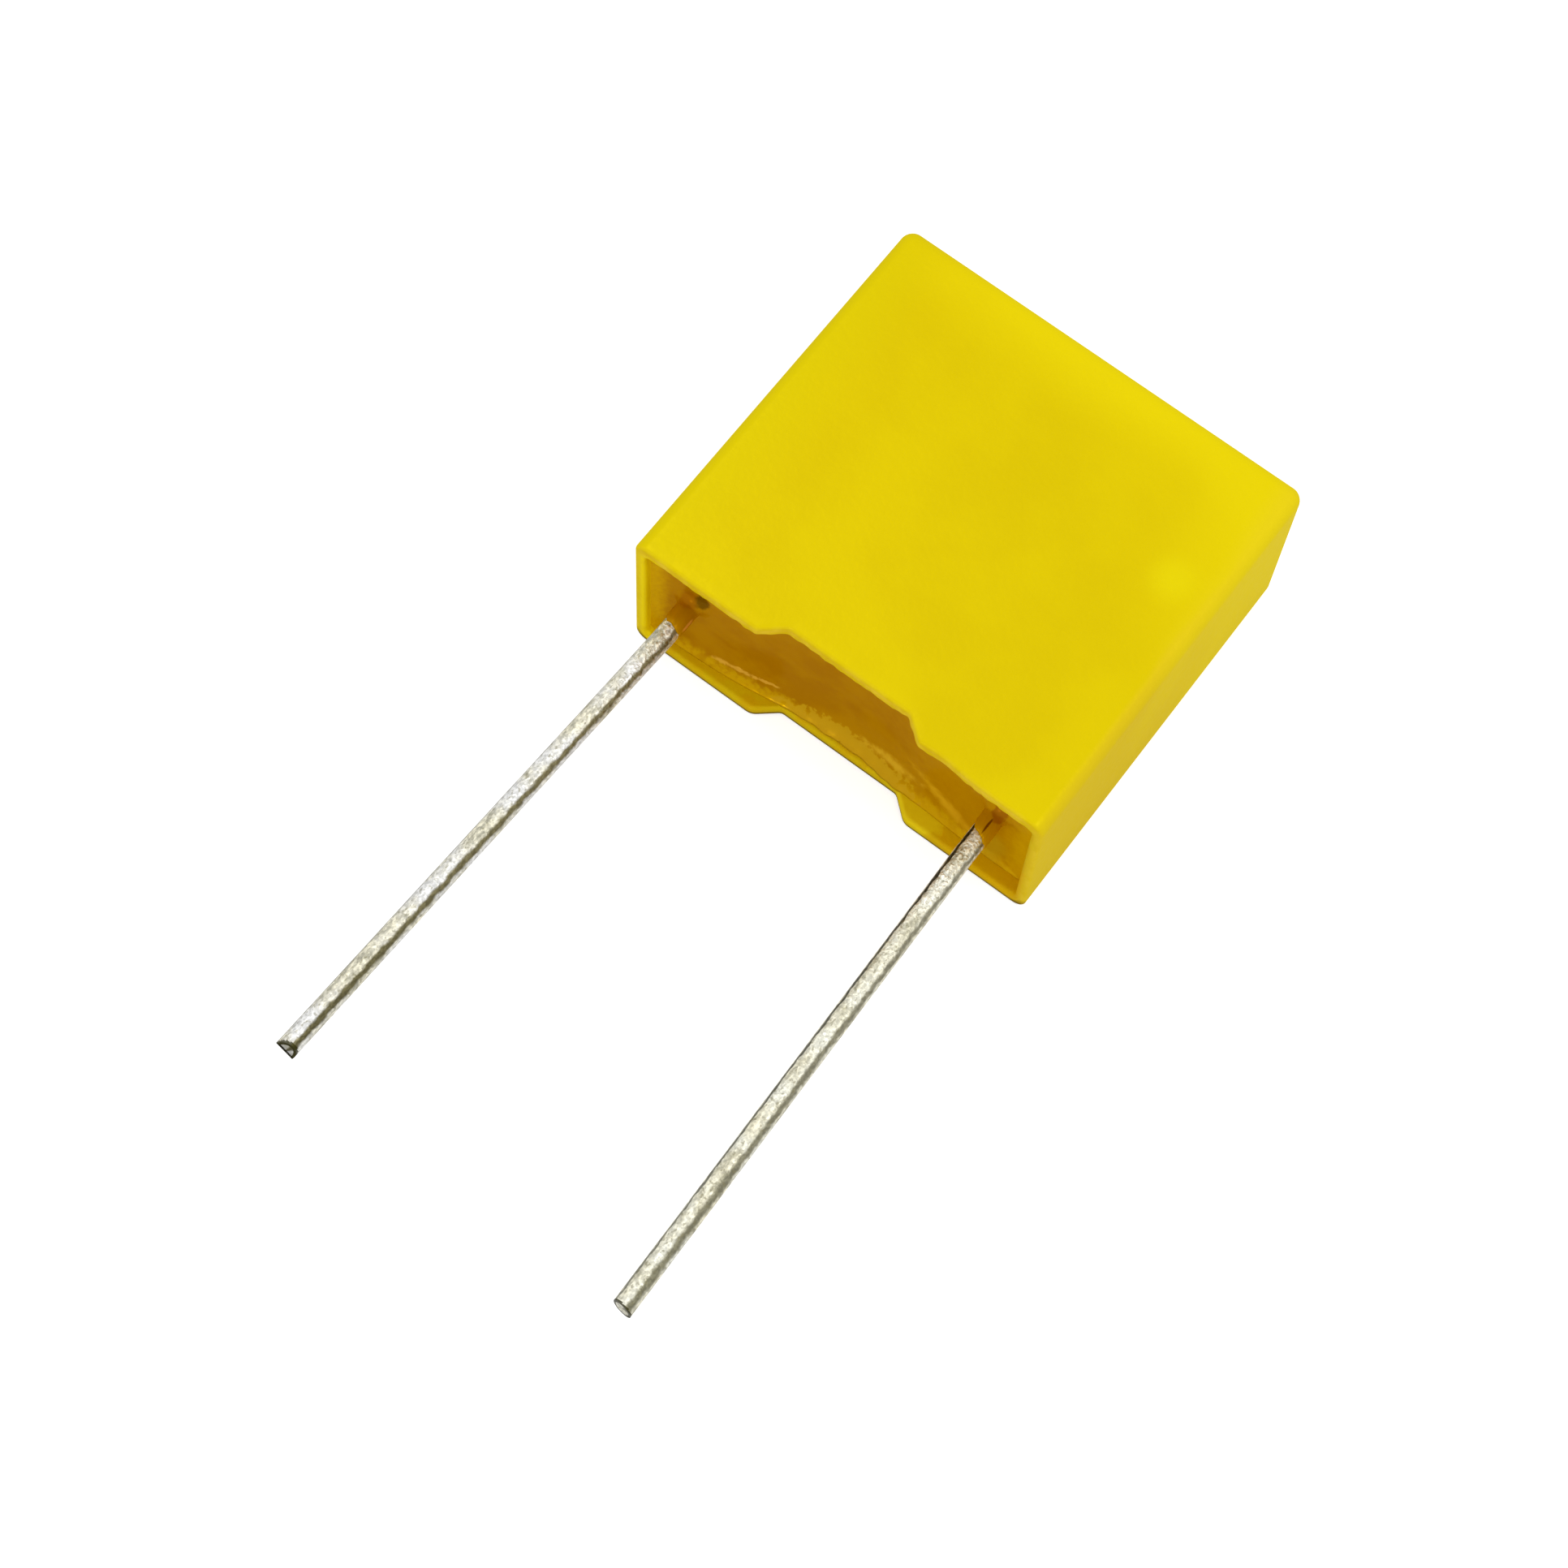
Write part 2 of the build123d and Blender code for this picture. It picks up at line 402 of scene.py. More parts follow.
wire_tree = drawn_wire_tree()
pins = {mount["name"]: mount for mount in frame["record"]["mounts"] if mount["kind"] == "pin"}
exits = {}
# Each lead's bands are painted reflections on its tin: a wide dark band on one flank and a thin darker line
# on the other.
left_tin = tin_finish("dipped_tin_left", (247, 242, 218), (234, 234, 232), (180, 177, 158), (
    ((38, 9, 19, (98, 93, 66)), (46, 6, 15, (136, 128, 96))),
    ((-62, 3, 6, (164, 164, 154)), (-62, 3, 6, (172, 172, 162))),
))
right_tin = tin_finish("dipped_tin_right", (246, 241, 216), (238, 237, 222), (178, 174, 150), (
    ((36, 9, 26, (134, 131, 108)), (54, 4, 15, (152, 148, 128))),
    ((-55, 4, 7, (136, 136, 122)), (-51, 9, 7, (44, 42, 24))),
))
# The last three values of each lead are the burr's width, the ring's width and how much painted shade the cut
# face takes.
for side, node_name, seed, cut_turns, marks, finish in (
    (-1, "lead_left", 1.0, ((-33, -35, 0), (15, -35, 0)), (0.00006, 0.00008, 0.4), left_tin),
    (1, "lead_right", 2.0, ((-6, 0, -9),), (0.00004, 0.00008, 0.15), right_tin),
):
    lowest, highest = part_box(node_name)
    pin = pins[f"{node_name}_pin"]
    outward = Vector(pin["axis"]).normalized()
    on_axis = Vector(pin["pos_m"])
    inner_x = (highest.x if side < 0 else lowest.x) + side * wire_radius
    exits[side] = inner_x
    top = Vector((inner_x, highest.y, on_axis.z))
    bend = on_axis + outward * ((inner_x - on_axis.x) / outward.x)
    facings = []
    for pitch, roll, yaw in cut_turns:
        turn = Matrix.Rotation(math.radians(yaw), 3, "Z") @ Matrix.Rotation(math.radians(roll), 3, outward)
        facings.append(turn @ Matrix.Rotation(math.radians(pitch), 3, "X") @ outward)
    slant = sum(facings, Vector()).normalized()
    tip_y = lowest.y + wire_radius * math.hypot(slant.x, slant.z)
    tip = on_axis + outward * ((tip_y - on_axis.y) / outward.y)

    line = bpy.data.curves.new(f"{node_name}_centre", "CURVE")
    line.dimensions = "3D"
    spline = line.splines.new("POLY")
    spline.points.add(2)
    for point, place in zip(spline.points, (top, bend, tip + outward * wire_spare)):
        point.co = (*place, 1.0)
    source = bpy.data.objects.new(line.name, line)
    bpy.context.scene.collection.objects.link(source)
    lead = run_tree(f"{node_name}_wire", source, wire_tree, {
        "Wire Radius": wire_radius,
        "Ring Spacing": ring_spacing,
        "Facets": wire_facets,
        "Ripple Height": ripple_height,
        "Ripple Length": ripple_length,
        "Dimple Height": dimple_height,
        "Dimple Length": dimple_length,
        "Seed": seed,
        "Finish": finish,
    })
    snip(lead.data, [(tip, facing) for facing in facings], *marks)
    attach(lead, "root")
    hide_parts(node_name)

# ---------------------------------------------------------------- Case
# One moulding of yellow polyester, open at its rim, with thin walls that the mould's draft
# thickens inwards. A cut-back in each large wall leaves a foot at both ends of the rim.

case_low, case_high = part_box("case")
edge_radius = 0.0004
end_wall = 0.00035
face_wall = 0.0004
roof_wall = 0.0007
wall_draft = math.tan(math.radians(0.3))
inner_corner_radius = 0.0003
rim_radius = 0.0001
notch_floor_half = 0.00195
notch_mouth_half = 0.0026
notch_depth = 0.00055
notch_floor_radius = 0.00025
front_foot_radius = 0.00015
back_foot_radius = 0.00045
sink_depth = 0.00002
worn_middle = 0.0032
worn_length = 0.0009
worn_depth = 0.0001
flash_height = 0.00006
flash_mean = 0.4
flash_width = 0.0001
flash_grain = 0.00022
edge_light = 0.3
front_rim_light = 0.5
stain_climb = 0.9
roof_rings = 10
wall_rings = 41
rim_edge_rings = 6
inside_rings = 31
floor_rings = 7
coarse_step = 1 / 50
fine_step = 1 / 170
weld_gap = 1e-7
shortest_edge = 1e-8

half_x = (case_high.x - case_low.x) / 2
half_z = (case_high.z - case_low.z) / 2
middle_z = (case_high.z + case_low.z) / 2
rim_y = case_low.y
roof_y = case_high.y


def arc_corner(before, corner, after, radius, steps=8):
    """The points of a fillet of that radius, at a corner of an outline."""
    into = (before - corner).normalized()
    out = (after - corner).normalized()
    half_turn = into.angle(out) / 2
    reach = radius / math.tan(half_turn)
    middle = corner + (into + out).normalized() * (radius / math.sin(half_turn))
    start, end = corner + into * reach, corner + out * reach
    sweep = (start - middle).angle_signed(end - middle)
    spokes = (Matrix.Rotation(-sweep * step / steps, 2) for step in range(steps + 1))
    return [middle + spoke @ (start - middle) for spoke in spokes]


def notch_profile(foot_radius):
    """How deep the rim is cut back at each distance from the middle, as matching arrays."""
    floor = Vector((notch_floor_half, notch_depth))
    mouth = Vector((notch_mouth_half, 0.0))
    points = [Vector((0.0, notch_depth))]
    points += arc_corner(points[0], floor, mouth, notch_floor_radius)
    points += arc_corner(floor, mouth, Vector((half_x, 0.0)), foot_radius)
    points.append(Vector((half_x, 0.0)))
    return np.array([p.x for p in points]), np.array([p.y for p in points])


front_notch = notch_profile(front_foot_radius)
back_notch = notch_profile(back_foot_radius)


def rim_height(x, z):
    """How far the rim is cut back at points of the case. The front wall is also worn a little
    beside its right foot."""
    front = np.interp(np.abs(x), *front_notch)
    back = np.interp(np.abs(x), *back_notch)
    front = front + worn_depth * np.exp(-(((x - worn_middle) / worn_length) ** 2))
    past_corners = np.abs(x) >= half_x - edge_radius
    return np.where(past_corners, 0.0, np.where(z > middle_z, front, back))


def along_one_wall():
    """Shares of a large wall's flat width, from -1 to 1, closer together at the cut-back."""
    coarse = np.arange(-1.0, 1.0 + coarse_step / 2, coarse_step)
    flank = notch_floor_half / (half_x - edge_radius)
    beside_floor = np.arange(flank - 0.06, flank + 0.2, fine_step)
    return np.unique(np.round(np.concatenate([coarse, beside_floor, -beside_floor]), 4))


along_wall = along_one_wall()
across_wall = np.linspace(-1.0, 1.0, 25)
corner_turns = np.linspace(0.0, math.pi / 2, 11)[1:-1]


def wall_loop(reach_x, reach_z, radius):
    """A rounded rectangle as x and z, from the front wall's left end round by the right."""
    flat_x, flat_z = reach_x - radius, reach_z - radius
    sides = [
        (along_wall * flat_x, np.full(along_wall.size, reach_z)),
        (np.full(across_wall.size, reach_x), -across_wall * flat_z),
        (-along_wall * flat_x, np.full(along_wall.size, -reach_z)),
        (np.full(across_wall.size, -reach_x), across_wall * flat_z),
    ]
    centres = ((flat_x, flat_z), (flat_x, -flat_z), (-flat_x, -flat_z), (-flat_x, flat_z))
    xs, zs = [], []
    for turn, ((x, z), (centre_x, centre_z)) in enumerate(zip(sides, centres)):
        angle = math.pi / 2 - turn * math.pi / 2 - corner_turns
        xs += [x, centre_x + radius * np.cos(angle)]
        zs += [z, centre_z + radius * np.sin(angle)]
    return np.concatenate(xs), np.concatenate(zs) + middle_z


def wall_sink(x, y, z):
    """The large faces sink very slightly between their edges as the moulding cools."""
    u = np.clip(x / half_x, -1, 1)
    v = np.clip(y / half_x, -1, 1)
    hollow = sink_depth * (1 - u**2) ** 2 * (1 - v**2) ** 2
    return np.where(z > middle_z, -hollow, hollow)


def flash(x, z):
    """How high the ragged edge of plastic stands along the inside of the rim."""
    heights = [noise.noise(Vector((a, 0.0, b)) / flash_grain) for a, b in zip(x, z)]
    return flash_height * (flash_mean + np.array(heights))


def share_of_wall(z, outer_z):
    """How far points of the rim belong to the large wall with that outer face, from 0 to 1."""
    return np.clip(1.5 - np.abs(outer_z - z) / face_wall, 0.0, 1.0)


def outer_rings():
    """The closed end's rounded edge and the outside of the walls, down to the rim."""
    rings = []
    height = roof_y - rim_y
    for turn in np.linspace(math.pi / 2, 0.0, roof_rings):
        inset = edge_radius * (1 - math.cos(turn))
        reach_x = half_x - height * wall_draft - inset
        x, z = wall_loop(reach_x, half_z - inset, edge_radius - inset)
        y = np.full(x.size, roof_y - edge_radius * (1 - math.sin(turn)))
        rings.append((x, y, z, 0.0, 0.0, 0.0))
    for share in np.linspace(0.0, 1.0, wall_rings)[1:]:
        x, z = wall_loop(half_x - (1 - share) * height * wall_draft, half_z, edge_radius)
        top = roof_y - edge_radius
        y = top + share * (rim_y + rim_height(x, z) + rim_radius - top)
        sunk = z + (wall_sink(x, y, z) if share < 1 else 0.0)
        rings.append((x, y, sunk, 0.0, 0.0, 0.0))
    return rings


def rim_rings():
    """The rim, from its rounded outer edge to its inner one, which is ragged on the front wall
    and rounded on the others."""
    rings = []
    for turn in np.linspace(0.0, math.pi / 2, rim_edge_rings)[1:]:
        inset = rim_radius * (1 - math.cos(turn))
        x, z = wall_loop(half_x - inset, half_z - inset, edge_radius - inset)
        y = rim_y + rim_height(x, z) + rim_radius * (1 - math.sin(turn))
        on_back = share_of_wall(z, case_low.z)
        # Painted light on the rounding of the front and end walls, painted shade on the back wall's.
        painted_rim_light = edge_light * turn * (1 - on_back)
        rings.append((x, y, z, painted_rim_light, on_back, on_back * math.sin(turn)))
    # The flat rim: painted light on the front and end walls, painted shade near the back wall's outer edge.
    for share, dark in ((0.3, 0.7), (0.65, 0.0), (1.0, 0.0)):
        from_x = rim_radius + share * (end_wall - flash_width - rim_radius)
        from_z = rim_radius + share * (face_wall - flash_width - rim_radius)
        radius = edge_radius + (inner_corner_radius - edge_radius) * share
        x, z = wall_loop(half_x - from_x, half_z - from_z, radius)
        on_front, on_back = share_of_wall(z, case_high.z), share_of_wall(z, case_low.z)
        tone = np.maximum(on_back, stain_climb * share**1.5 * (1 - on_front))
        painted_rim_light = (edge_light + front_rim_light * on_front) * (1 - on_back)
        rings.append((x, rim_y + rim_height(x, z), z, painted_rim_light, dark * on_back, tone))
    # The front wall's ragged flash: painted light on its face and painted shade at its inner side.
    for inset, share, dark in ((0.65, 1.0, 0.0), (0.35, 1.0, 0.1), (0.0, 0.4, 1.0)):
        away = flash_width * inset
        x, z = wall_loop(half_x - end_wall + away, half_z - face_wall + away, inner_corner_radius)
        on_front = share_of_wall(z, case_high.z)
        rounded = (1 - on_front) * flash_width * (1 - math.sqrt(1 - (1 - inset) ** 2))
        y = rim_y + rim_height(x, z) + rounded - share * on_front * flash(x, z)
        rings.append((x, y, z, on_front, dark * on_front, 1 - on_front))
    return rings


def inner_rings():
    """The inside of the walls, down to the rounded corners of the cavity's floor."""
    rings = []
    depth = roof_y - roof_wall - rim_y
    for share in np.linspace(0.0, 1.0, inside_rings)[1:]:
        y_below = share**1.5 * (depth - inner_corner_radius)
        taper = y_below * wall_draft
        x, z = wall_loop(half_x - end_wall - taper, half_z - face_wall - taper, inner_corner_radius)
        on_front = share_of_wall(z, case_high.z)
        start = rim_y + rim_height(x, z) + (1 - on_front) * flash_width
        y = start + share**1.5 * (rim_y + depth - inner_corner_radius - start)
        rings.append((x, y, z, 0.0, 0.0, 1.0))
    taper = depth * wall_draft
    for turn in np.linspace(0.0, math.pi / 2, floor_rings)[1:]:
        inset = inner_corner_radius * (1 - math.cos(turn)) + taper
        radius = inner_corner_radius * math.cos(turn)
        x, z = wall_loop(half_x - end_wall - inset, half_z - face_wall - inset, radius)
        y = np.full(x.size, rim_y + depth - inner_corner_radius * (1 - math.sin(turn)))
        rings.append((x, y, z, 0.0, 0.0, 1.0))
    return rings


def case_rings():
    """The case from its closed end, down over its walls and up its inside.

    Each ring is its x, y and z, and then how much it shows of three tints: painted light along the rim,
    painted shade along its edges, and the stained inside of the walls, which carries painted light in places."""
    rings = outer_rings() + rim_rings() + inner_rings()
    return [np.column_stack([np.broadcast_to(part, ring[0].shape) for part in ring]) for ring in rings]


def close_end(ring, row_count):
    """The grid of points across a flat end, row by row between the front and the back edge."""
    front = ring[: along_wall.size]
    start = along_wall.size + across_wall.size + 2 * corner_turns.size
    back = ring[start : start + along_wall.size][::-1]
    return [front + (back - front) * row / (row_count - 1) for row in range(row_count)]


def mesh_from_rings(name, rings):
    """A closed mesh over the rings, with its first and last ring filled by a grid."""
    points = [p for ring in rings for p in ring]
    count = len(rings[0])
    faces = []
    for level in range(len(rings) - 1):
        this, below = level * count, (level + 1) * count
        for i in range(count):
            j = (i + 1) % count
            faces.append((this + i, this + j, below + j, below + i))
    for ring in (rings[0], rings[-1]):
        rows = close_end(ring, across_wall.size)
        first = len(points)
        width = along_wall.size
        points += [p for row in rows for p in row]
        for r in range(len(rows) - 1):
            for i in range(width - 1):
                a = first + r * width + i
                faces.append((a, a + 1, a + width + 1, a + width))
    mesh = bpy.data.meshes.new(name)
    mesh.from_pydata([tuple(p[:3]) for p in points], [], faces)
    tint = mesh.attributes.new("tint", "FLOAT_VECTOR", "POINT")
    tint.data.foreach_set("vector", [share for p in points for share in p[3:]])
    bm = bmesh.new()
    bm.from_mesh(mesh)
    bmesh.ops.remove_doubles(bm, verts=bm.verts, dist=weld_gap)
    bmesh.ops.dissolve_degenerate(bm, edges=bm.edges, dist=shortest_edge)
    bmesh.ops.recalc_face_normals(bm, faces=bm.faces)
    bm.to_mesh(mesh)
    bm.free()
    mesh.shade_smooth()
    return mesh


def spot(tree, centre, size, ragged, slope=0.0, tear=0.5, soft=0.25):
    """A mask that is 1 inside an ellipsoid on the object's own coordinates and fades out of it.

    Its long axis rises in Z by the slope along X, and the ragged pattern tears its soft edge."""
    place = add(tree, "ShaderNodeTexCoord").outputs["Object"]
    offset = add(tree, "ShaderNodeVectorMath", {0: place, 1: centre}, operation="SUBTRACT").outputs[0]
    if slope:
        across = add(tree, "ShaderNodeSeparateXYZ", {0: offset}).outputs["X"]
        lift = add(tree, "ShaderNodeVectorMath", {0: (0.0, 0.0, -slope), "Scale": across}, operation="SCALE")
        offset = add(tree, "ShaderNodeVectorMath", {0: offset, 1: lift.outputs[0]}).outputs[0]
    shares = add(tree, "ShaderNodeVectorMath", {0: offset, 1: size}, operation="DIVIDE")
    distance = add(tree, "ShaderNodeVectorMath", {0: shares.outputs[0]}, operation="LENGTH")
    torn = add(
        tree, "ShaderNodeMath", {0: ragged, 1: tear, 2: distance.outputs["Value"]}, operation="MULTIPLY_ADD"
    )
    mask = add(
        tree,
        "ShaderNodeMapRange",
        {"Value": torn.outputs[0], "From Min": 1 + soft + tear / 2, "From Max": 1 - soft + tear / 2},
        interpolation_type="SMOOTHSTEP",
    )
    return mask.outputs["Result"]


case_finish, tree, shader = new_finish(
    "yellow_polyester",
    metallic=0.14,
    specular_ior_level=0.0,
    specular_tint=(1.0, 0.85, 0.2, 1.0),
    coat_weight=0.07,
    coat_roughness=0.25,
)
clouds = grain(tree, 0.0034, detail=3.0)
skin = grain(tree, 0.00018, detail=2.0)
ragged = grain(tree, 0.0005, detail=4.0)
yellow = blend_of(tree, clouds, colour(224, 198, 2), colour(229, 204, 4))
top_z = case_high.z
# Painted highlights and reflections: lighter yellow at the closed end, along the edges, in a soft spot on the
# front face and on the right side, where the plastic catches light. Each is its centre and half sizes, its
# softness and its colour.
painted_highlights = (
    ((0.0016, roof_y, middle_z), (0.0075, 0.0014, 0.009), 0.7, (239, 216, 10)),
    ((-half_x, 0.0, top_z), (0.0012, 0.009, 0.009), 0.9, (226, 204, 5)),
    ((half_x, roof_y, top_z), (0.002, 0.0045, 0.009), 0.8, (238, 215, 10)),
    ((0.0052, 0.0018, top_z), (0.0005, 0.0005, 0.001), 0.9, (236, 215, 12)),
    ((half_x, 0.0, middle_z), (0.0004, 0.009, 0.009), 0.3, (229, 199, 30)),
    ((half_x, roof_y, middle_z), (0.0006, 0.006, 0.009), 0.6, (238, 213, 26)),
)
for centre, size, soft, hue in painted_highlights:
    yellow = blend_of(tree, spot(tree, centre, size, clouds, tear=0.3, soft=soft), yellow, colour(*hue))
# The inside of the walls is stained by the resin. Two spots on it are painted light: lit_end, light coming
# through the left end wall, and notch_highlight, a highlight on the back notch's right flank.
inner_stain_and_light = blend_of(tree, ragged, colour(217, 187, 14), colour(217, 177, 12))
resin_end = spot(tree, (0.0056, rim_y, case_low.z), (0.002, 0.003, 0.003), ragged)
inner_stain_and_light = blend_of(tree, resin_end, inner_stain_and_light, colour(220, 174, 6))
lit_end = spot(tree, (-half_x, rim_y, middle_z), (0.0012, 0.003, 0.0036), ragged)
inner_stain_and_light = blend_of(tree, lit_end, inner_stain_and_light, colour(250, 222, 8))
notch_highlight = spot(tree, (0.0027, rim_y, case_low.z), (0.0008, 0.003, 0.003), ragged)
inner_stain_and_light = blend_of(tree, notch_highlight, inner_stain_and_light, colour(234, 206, 24))
tints = add(tree, "ShaderNodeAttribute", attribute_name="tint").outputs["Vector"]
tints = add(tree, "ShaderNodeSeparateXYZ", {0: tints}).outputs
# Painted light: the rim is a lighter gold where it catches the light.
painted_rim_light = blend_of(tree, ragged, colour(228, 188, 22), colour(244, 206, 56))
yellow = blend_of(tree, tints["X"], yellow, painted_rim_light)
yellow = blend_of(tree, tints["Z"], yellow, inner_stain_and_light)
feed(tree, shader, {
    # Painted shade: dark olive along the back rim's outer edge and the inner side of the front flash.
    "Base Color": blend_of(tree, tints["Y"], yellow, colour(104, 82, 6)),
    "Roughness": blend_of(tree, skin, 0.3, 0.42),
    "Normal": bump_of(tree, skin, 0.000003),
})
case = bpy.data.objects.new("case_shell", mesh_from_rings("case_shell", case_rings()))
bpy.context.scene.collection.objects.link(case)
case.data.materials.append(case_finish)
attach(case, "root")
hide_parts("case")

# ---------------------------------------------------------------- Potting resin
# Amber epoxy poured round the element and set. Its surface hollows in the middle, climbs the
# walls and the leads, and leaves a thin torn skin on the first stretch of each wire.

wall_depth = 0.000475
end_slope = 0.00012
middle_dip = 0.000475
middle_length = 0.0026
cross_dip = 0.0003
lip_height = 0.00011
lip_length = 0.00011
skin_height = 0.00018
skin_length = 0.0003
skin_middle = 0.0006
skin_reach = 0.0019
skin_mean = 0.85
skin_tear = 0.35
skin_tear_length = 0.0004
creep_radius = 0.00062
film_radius = 0.00033
film_length = 0.00094
film_jag = 0.14
film_slant = 0.16
film_swell = 0.25
film_thinning = 0.55
film_rings = 12
collar_rings = 9
pool_rings = 42
brim_depth = 2.5 * wall_depth
wall_bite = 0.000004
outline_step = 0.00006
mouth_x = half_x - end_wall
mouth_z = half_z - face_wall
parting_x = (exits[-1] + exits[1]) / 2


def uneven(values, size, seed):
    """Smooth random numbers, about -1 to 1, for an array of lengths."""
    return np.array([noise.noise(Vector((value / size, seed, 0.0))) for value in np.ravel(values)])


def resin_depth(x, z):
    """How far below the rim the resin lies, with z from the middle of the case."""
    u, v = x / mouth_x, z / mouth_z
    depth = wall_depth + end_slope * u + middle_dip * np.exp(-((x / middle_length) ** 2))
    depth = depth + cross_dip * (1 - v**4) * (1 - u**8)
    for gap in (mouth_x - np.abs(x), mouth_z - np.abs(z)):
        depth = depth - lip_height * np.exp(-np.maximum(gap, 0.0) / lip_length)
    torn = skin_mean + skin_tear * uneven(x, skin_tear_length, 3.0)
    climb = skin_height * np.exp(-(((x - skin_middle) / skin_reach) ** 4)) * torn
    return depth - climb * np.exp(-(z + mouth_z) / skin_length)


def half_mouth(side):
    """One half of the mouth's outline as x and z, round from the parting line through the middle."""
    start = side * parting_x
    reach_x, reach_z = mouth_x + wall_bite, mouth_z + wall_bite
    flat_x, flat_z = reach_x - inner_corner_radius, reach_z - inner_corner_radius
    turn = np.linspace(0.0, math.pi / 2, 8, endpoint=False)

    def run(first, last):
        return np.linspace(first, last, round(abs(last - first) / outline_step), endpoint=False)

    across, along, end = run(-reach_z, reach_z), run(start, flat_x), run(flat_z, -flat_z)
    back = run(flat_x, start)
    x = [np.full(across.size, start), along, flat_x + inner_corner_radius * np.sin(turn)]
    z = [across, np.full(along.size, reach_z), flat_z + inner_corner_radius * np.cos(turn)]
    x += [np.full(end.size, reach_x), flat_x + inner_corner_radius * np.cos(turn), back]
    z += [end, -flat_z - inner_corner_radius * np.sin(turn), np.full(back.size, -reach_z)]
    return side * np.concatenate(x), np.concatenate(z)


def half_surface(side):
    """The rings of the resin's surface round one lead, from its torn film out to the walls."""
    axis_x = exits[side]
    edge_x, edge_z = half_mouth(side)
    reach = np.hypot(edge_x - axis_x, edge_z)
    ray_x, ray_z = (edge_x - axis_x) / reach, edge_z / reach
    turn = np.arctan2(ray_z, ray_x)
    collar = creep_radius - film_radius
    rings = []

    def ring(radius, lift):
        x, z = axis_x + ray_x * radius, ray_z * radius
        rings.append(np.column_stack((x, rim_y + resin_depth(x, z) - lift, z + middle_z)))

    jags = uneven(turn, 0.8, 7.0 + side) + 0.25 * uneven(turn, 0.2, 2.0 + side)
    sleeve = film_length * (1 + film_jag * jags + film_slant * ray_x)
    for share in np.linspace(1.0, 0.0, film_rings):
        thin = np.clip((share - film_thinning) / (1 - film_thinning), 0.0, 1.0) ** 2
        swell = film_swell * uneven(turn + share, 0.5, 5.0 * side)
        radius = film_radius + (film_radius - wire_radius) * swell * (1 - thin)
        radius = radius + (wire_radius - wall_bite - film_radius) * thin
        ring(radius, collar + (sleeve - collar) * share)
    for bend in np.linspace(math.pi / 2, 0.0, collar_rings)[1:]:
        ring(creep_radius - collar * math.sin(bend), collar * (1 - math.cos(bend)))
    even = np.linspace(0.0, 1.0, pool_rings)
    for share in (0.6 * even + 0.4 * (1 - np.cos(math.pi * even)) / 2)[1:]:
        ring(creep_radius + (reach - creep_radius) * share, 0.0)
    return rings


def resin_mesh():
    """The whole filling as one closed skin, still without the pieces that it holds."""
    bm = bmesh.new()
    for side in (-1, 1):
        rings = [[bm.verts.new(p) for p in ring] for ring in half_surface(side)]
        count = len(rings[0])
        for inner, outer in zip(rings, rings[1:]):
            for i in range(count):
                j = (i + 1) % count
                bm.faces.new((inner[i], inner[j], outer[j], outer[i]))
    bmesh.ops.remove_doubles(bm, verts=bm.verts, dist=weld_gap)
    for face in bm.faces:
        face.smooth = True
    open_edges = [edge for edge in bm.edges if edge.is_boundary]
    brim = [edge for edge in open_edges if rim_y < edge.verts[0].co.y < rim_y + brim_depth]
    walls = bmesh.ops.extrude_edge_only(bm, edges=brim)["geom"]
    floor_y = roof_y - roof_wall
    narrowed = (floor_y - rim_y) * wall_draft
    for vert in walls:
        if isinstance(vert, bmesh.types.BMVert):
            vert.co.x *= 1 - narrowed / mouth_x
            vert.co.z = middle_z + (vert.co.z - middle_z) * (1 - narrowed / mouth_z)
            vert.co.y = floor_y
    bmesh.ops.holes_fill(bm, edges=[edge for edge in bm.edges if edge.is_boundary])
    bmesh.ops.recalc_face_normals(bm, faces=bm.faces)
    mesh = bpy.data.meshes.new("resin_filling")
    bm.to_mesh(mesh)
    bm.free()
    return mesh


def solid_copy(node_name):
    """A merged copy of a CAD node, to cut its room out of the resin."""
    bm = bmesh.new()
    bm.from_mesh(frame["nodes"][node_name].data)
    bmesh.ops.remove_doubles(bm, verts=bm.verts, dist=cut_slack)
    mesh = bpy.data.meshes.new(f"{node_name}_room")
    bm.to_mesh(mesh)
    bm.free()
    copy = bpy.data.objects.new(mesh.name, mesh)
    bpy.context.scene.collection.objects.link(copy)
    return copy


def hollowed(name, mesh, node_names):
    """The mesh as a piece, less the room of the nodes that lie in it."""
    block = bpy.data.objects.new(f"{name}_block", mesh)
    bpy.context.scene.collection.objects.link(block)
    rooms = [solid_copy(node_name) for node_name in node_names]
    for room in rooms:
        cut = block.modifiers.new(room.name, "BOOLEAN")
        cut.operation = "DIFFERENCE"
        cut.solver = "MANIFOLD"
        cut.object = room
    bpy.context.view_layer.update()
    evaluated = block.evaluated_get(bpy.context.evaluated_depsgraph_get())
    finished = bpy.data.meshes.new_from_object(evaluated)
    finished.name = name
    for item in (block, *rooms):
        bpy.data.objects.remove(item)
    piece = bpy.data.objects.new(name, finished)
    bpy.context.scene.collection.objects.link(piece)
    return piece


resin_finish, tree, shader = new_finish(
    "amber_epoxy",
    metallic=0.22,
    specular_ior_level=0.0,
    specular_tint=(1.0, 0.66, 0.04, 1.0),
    coat_weight=0.03,
    coat_roughness=0.1,
)
clouds = grain(tree, 0.0014, detail=3.0)
grit = grain(tree, 0.0002, detail=3.0)
amber = blend_of(tree, clouds, colour(178, 122, 0), colour(188, 134, 0))
mouth_y = rim_y + wall_depth
wall_z = case_low.z + face_wall
